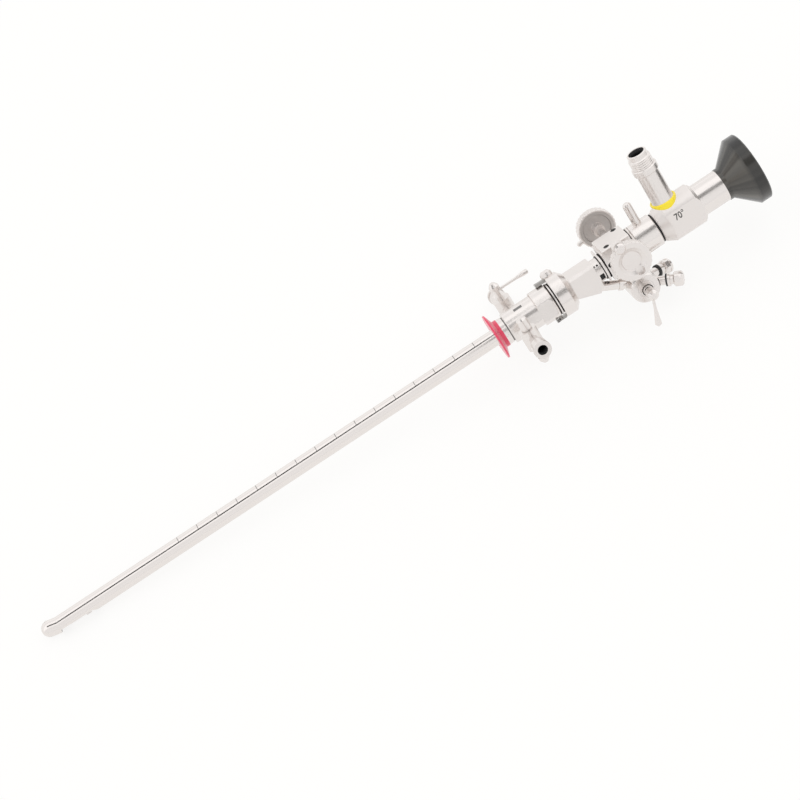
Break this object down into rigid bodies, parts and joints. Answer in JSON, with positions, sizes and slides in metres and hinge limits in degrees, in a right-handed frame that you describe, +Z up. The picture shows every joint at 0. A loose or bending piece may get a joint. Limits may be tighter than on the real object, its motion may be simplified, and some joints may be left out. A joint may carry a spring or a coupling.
{
  "type": "rigid endoscope",
  "caption": "Rigid cystoscope with graduated sheath, taps, deflecting bridge with thumbwheels, angled telescope, light post and eyecup.",
  "frame": {"origin": "on the surface it lies on, under the middle of the whole instrument", "axes": "+Z up from the surface; +X over the instrument's axis, from the tip to the eyecup; the axis rises about 4 degrees towards the eyecup"},
  "size_m": [0.3608, 0.0666, 0.0594],
  "materials": {
    "steel": "satin",
    "sheath_steel": "polished",
    "polished_steel": "polished",
    "red_plastic": "gloss",
    "yellow_plastic": "gloss",
    "black_plastic": "gloss",
    "glass": "gloss",
    "fibre": "satin",
    "seal_rubber": "matte"
  },
  "bodies": {
    "instrument": {"sheath_tube": "sheath_steel", "size_collar": "red_plastic", "sheath_hub": "steel", "hub_studs": "steel", "far_tap_housing": "steel", "near_tap_housing": "steel", "hub_seal": "seal_rubber", "bridge_body": "steel", "clamp_plate": "steel", "bridge_block": "steel", "block_screws": "steel", "guide_tube": "steel", "elevator_pin": "steel", "channel_tube": "steel", "channel_drum": "steel", "near_port": "steel", "far_port": "steel", "near_port_cap": "steel", "far_port_cap": "steel", "port_seals": "seal_rubber", "port_washers": "seal_rubber", "scope_shaft": "steel", "distal_window": "glass", "inner_tube": "steel", "light_fibres": "fibre", "rod_lenses": "glass", "scope_body": "steel", "post_ring": "yellow_plastic", "light_post": "steel", "post_adapter": "steel", "light_guide": "glass", "eyepiece_tube": "steel", "ocular_lens": "glass", "ocular_window": "glass", "eyecup": "black_plastic"},
    "far_tap": {"far_tap_plug": "polished_steel", "far_tap_nut": "steel"},
    "near_tap": {"near_tap_plug": "polished_steel", "near_tap_nut": "steel"},
    "channel_tap": {"channel_plug": "polished_steel", "channel_nut": "steel"},
    "lock": {"lock_ring": "steel", "lock_catches": "steel", "lock_knob": "polished_steel"},
    "wheels": {"axle": "steel", "near_wheel": "polished_steel", "far_wheel": "polished_steel", "near_peg": "polished_steel", "far_peg": "polished_steel"},
    "drive": {"control_rods": "steel", "rod_yoke": "steel", "rack": "steel"},
    "deflector": {"elevator": "steel"},
    "scope_lock": {"scope_sleeve": "steel", "scope_lock_pin": "polished_steel"}
  },
  "joints": [
    {"name": "far_tap_turn", "type": "hinge", "parent": "instrument", "child": "far_tap", "pos_m": [0.06112, 0.01667, 0.01146], "axis": [-0.0633, 0.4796, 0.8752], "range_deg": [-90, 90]},
    {"name": "near_tap_turn", "type": "hinge", "parent": "instrument", "child": "near_tap", "pos_m": [0.0598, -0.01667, 0.02964], "axis": [-0.0633, 0.4796, 0.8752], "range_deg": [-90, 90]},
    {"name": "channel_tap_turn", "type": "hinge", "parent": "instrument", "child": "channel_tap", "pos_m": [0.11432, -0.00758, 0.01054], "axis": [0.0346, 0.8775, -0.4783], "range_deg": [-90, 90]},
    {"name": "lock_turn", "type": "hinge", "parent": "instrument", "child": "lock", "pos_m": [0.07901, 0, 0.02189], "axis": [0.9974, 0, 0.0722], "range_deg": [0, 30]},
    {"name": "wheel_turn", "type": "hinge", "parent": "instrument", "child": "wheels", "pos_m": [0.11144, 0.00297, 0.02969], "axis": [0.0346, 0.8775, -0.4783], "range_deg": [0, 60]},
    {"name": "drive_slide", "type": "slide", "parent": "instrument", "child": "drive", "axis": [-0.9974, 0, -0.0722], "range_m": [0, 0.00169]},
    {"name": "deflector_turn", "type": "hinge", "parent": "instrument", "child": "deflector", "pos_m": [-0.15884, -0.00096, 0.00292], "axis": [-0.0346, -0.8775, 0.4783], "range_deg": [0, 60.01]},
    {"name": "scope_lock_turn", "type": "hinge", "parent": "instrument", "child": "scope_lock", "pos_m": [0.11993, 0.00055, 0.02586], "axis": [0.9974, 0, 0.0722], "range_deg": [0, 40]}
  ],
  "couplings": [
    {"joint": "drive_slide", "follows": "wheel_turn", "m_per_rad": 0.00161},
    {"joint": "deflector_turn", "follows": "wheel_turn", "ratio": 1}
  ]
}
